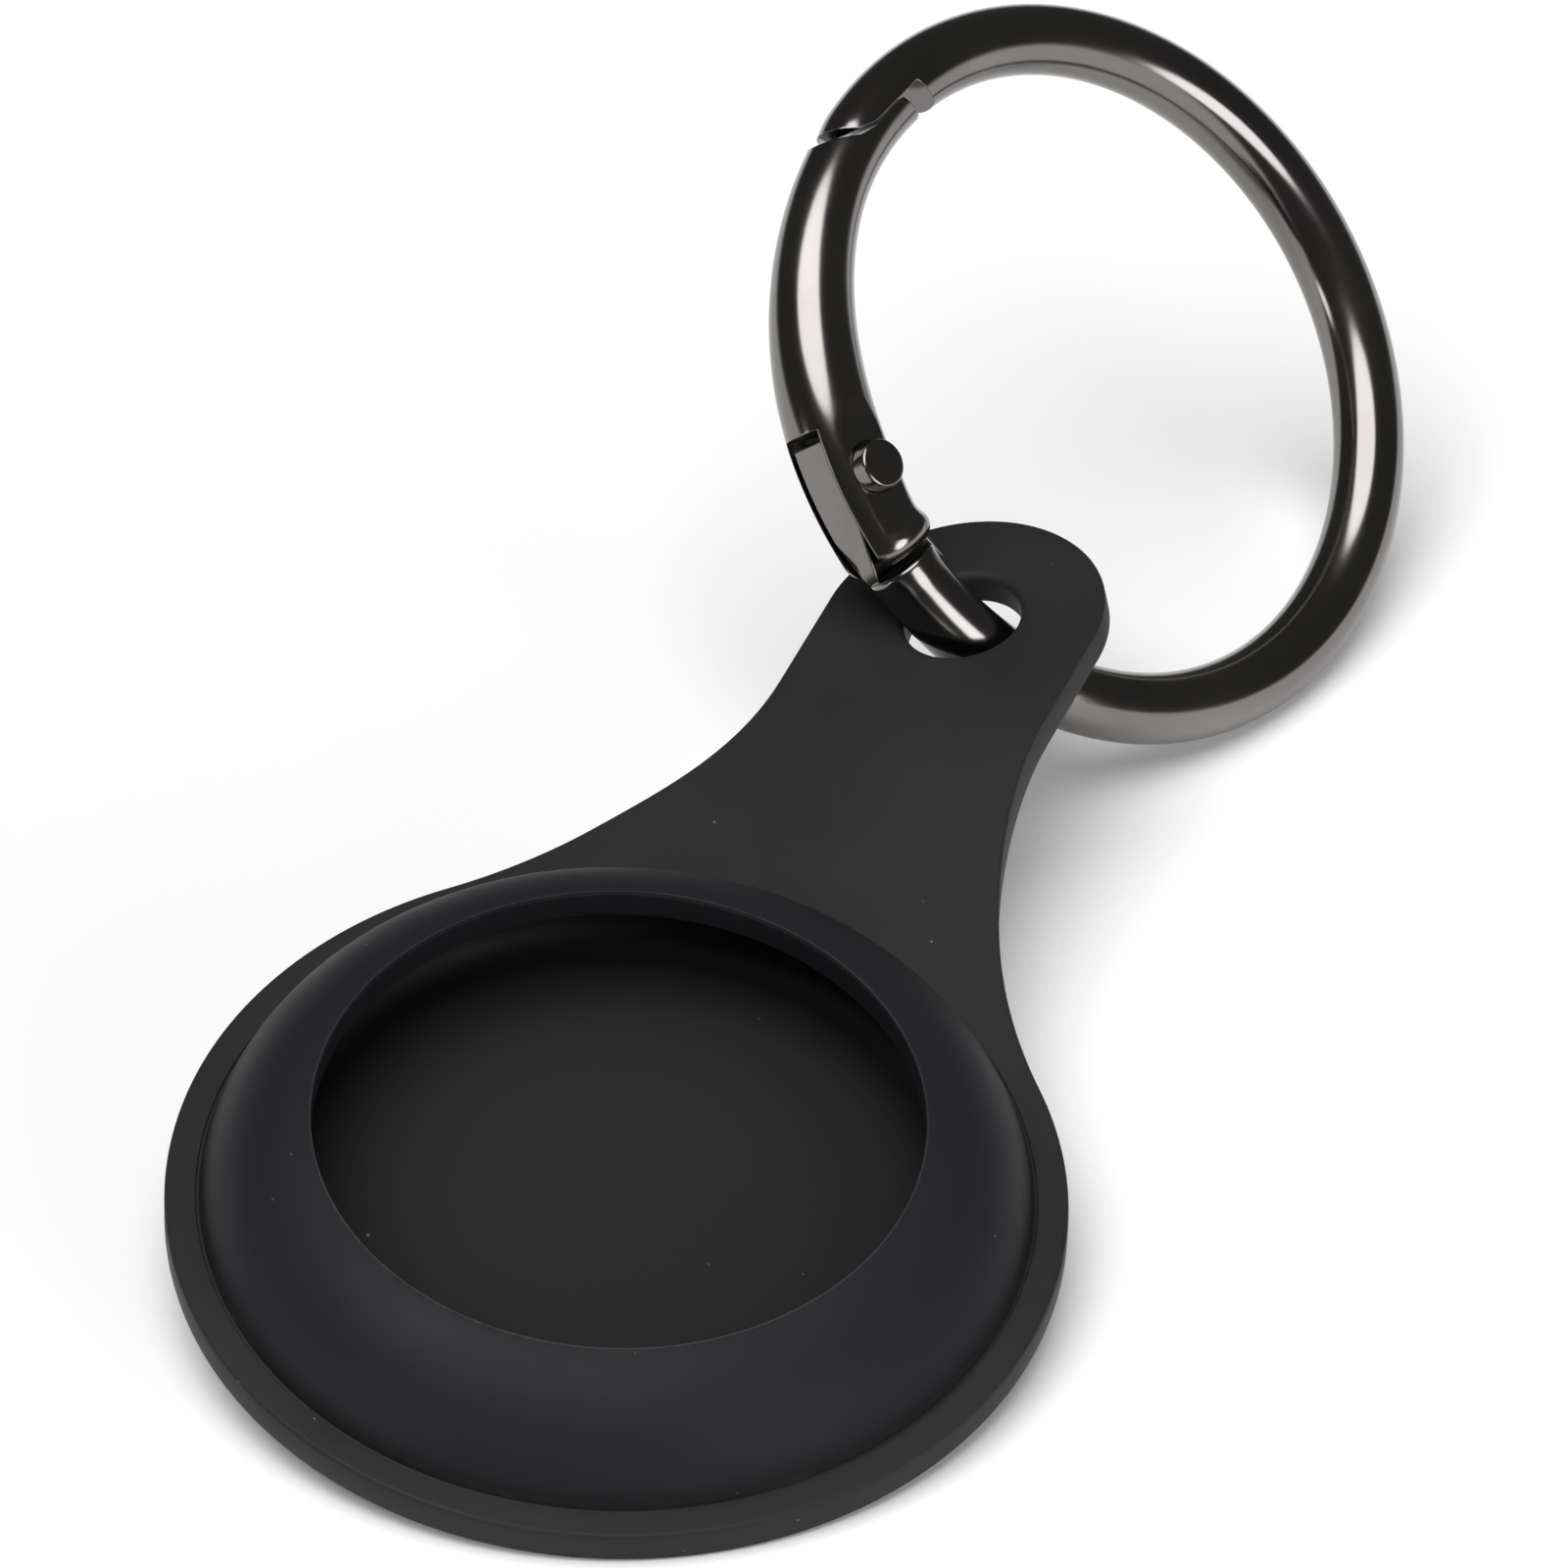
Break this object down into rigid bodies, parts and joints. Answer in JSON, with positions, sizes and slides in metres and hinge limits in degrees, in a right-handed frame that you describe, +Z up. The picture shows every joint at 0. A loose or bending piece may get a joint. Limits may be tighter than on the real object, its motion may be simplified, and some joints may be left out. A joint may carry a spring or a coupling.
{
  "type": "tracker tag holder",
  "caption": "Soft silicone holder for a round tracker tag, with an open lipped pocket, a flat neck and a holed ear that carries a round metal spring-gate ring.",
  "frame": {"origin": "middle of the round flange's flat back face", "axes": "+Z up from the table that the object lies on, propped at the ear by its ring; +Y from the pocket towards the ear"},
  "size_m": [0.04, 0.092, 0.0275],
  "materials": {
    "silicone": "matt, finely dusted",
    "plated_metal": "polished dark plating",
    "spring_steel": "drawn"
  },
  "bodies": {
    "holder": {"holder_body": "silicone"},
    "ring": {"ring_body": "plated_metal"},
    "gate": {"gate": "plated_metal", "pivot_rivet": "plated_metal", "gate_spring": "spring_steel"}
  },
  "joints": [
    {"name": "ring_swing", "type": "hinge", "parent": "holder", "child": "ring", "pos_m": [0.00002, 0.03875, 0.00605], "axis": [0.6931, 0.1994, -0.6928], "range_deg": [-35, 35]},
    {"name": "gate_hinge", "type": "hinge", "parent": "ring", "child": "gate", "pos_m": [-0.0059, 0.03938, 0.01264], "axis": [-0.7209, 0.1926, -0.6658], "range_deg": [0, 45], "stiffness_Nm_per_rad": 0.02, "springref_deg": -28.65, "deforming": ["gate_spring"]}
  ]
}
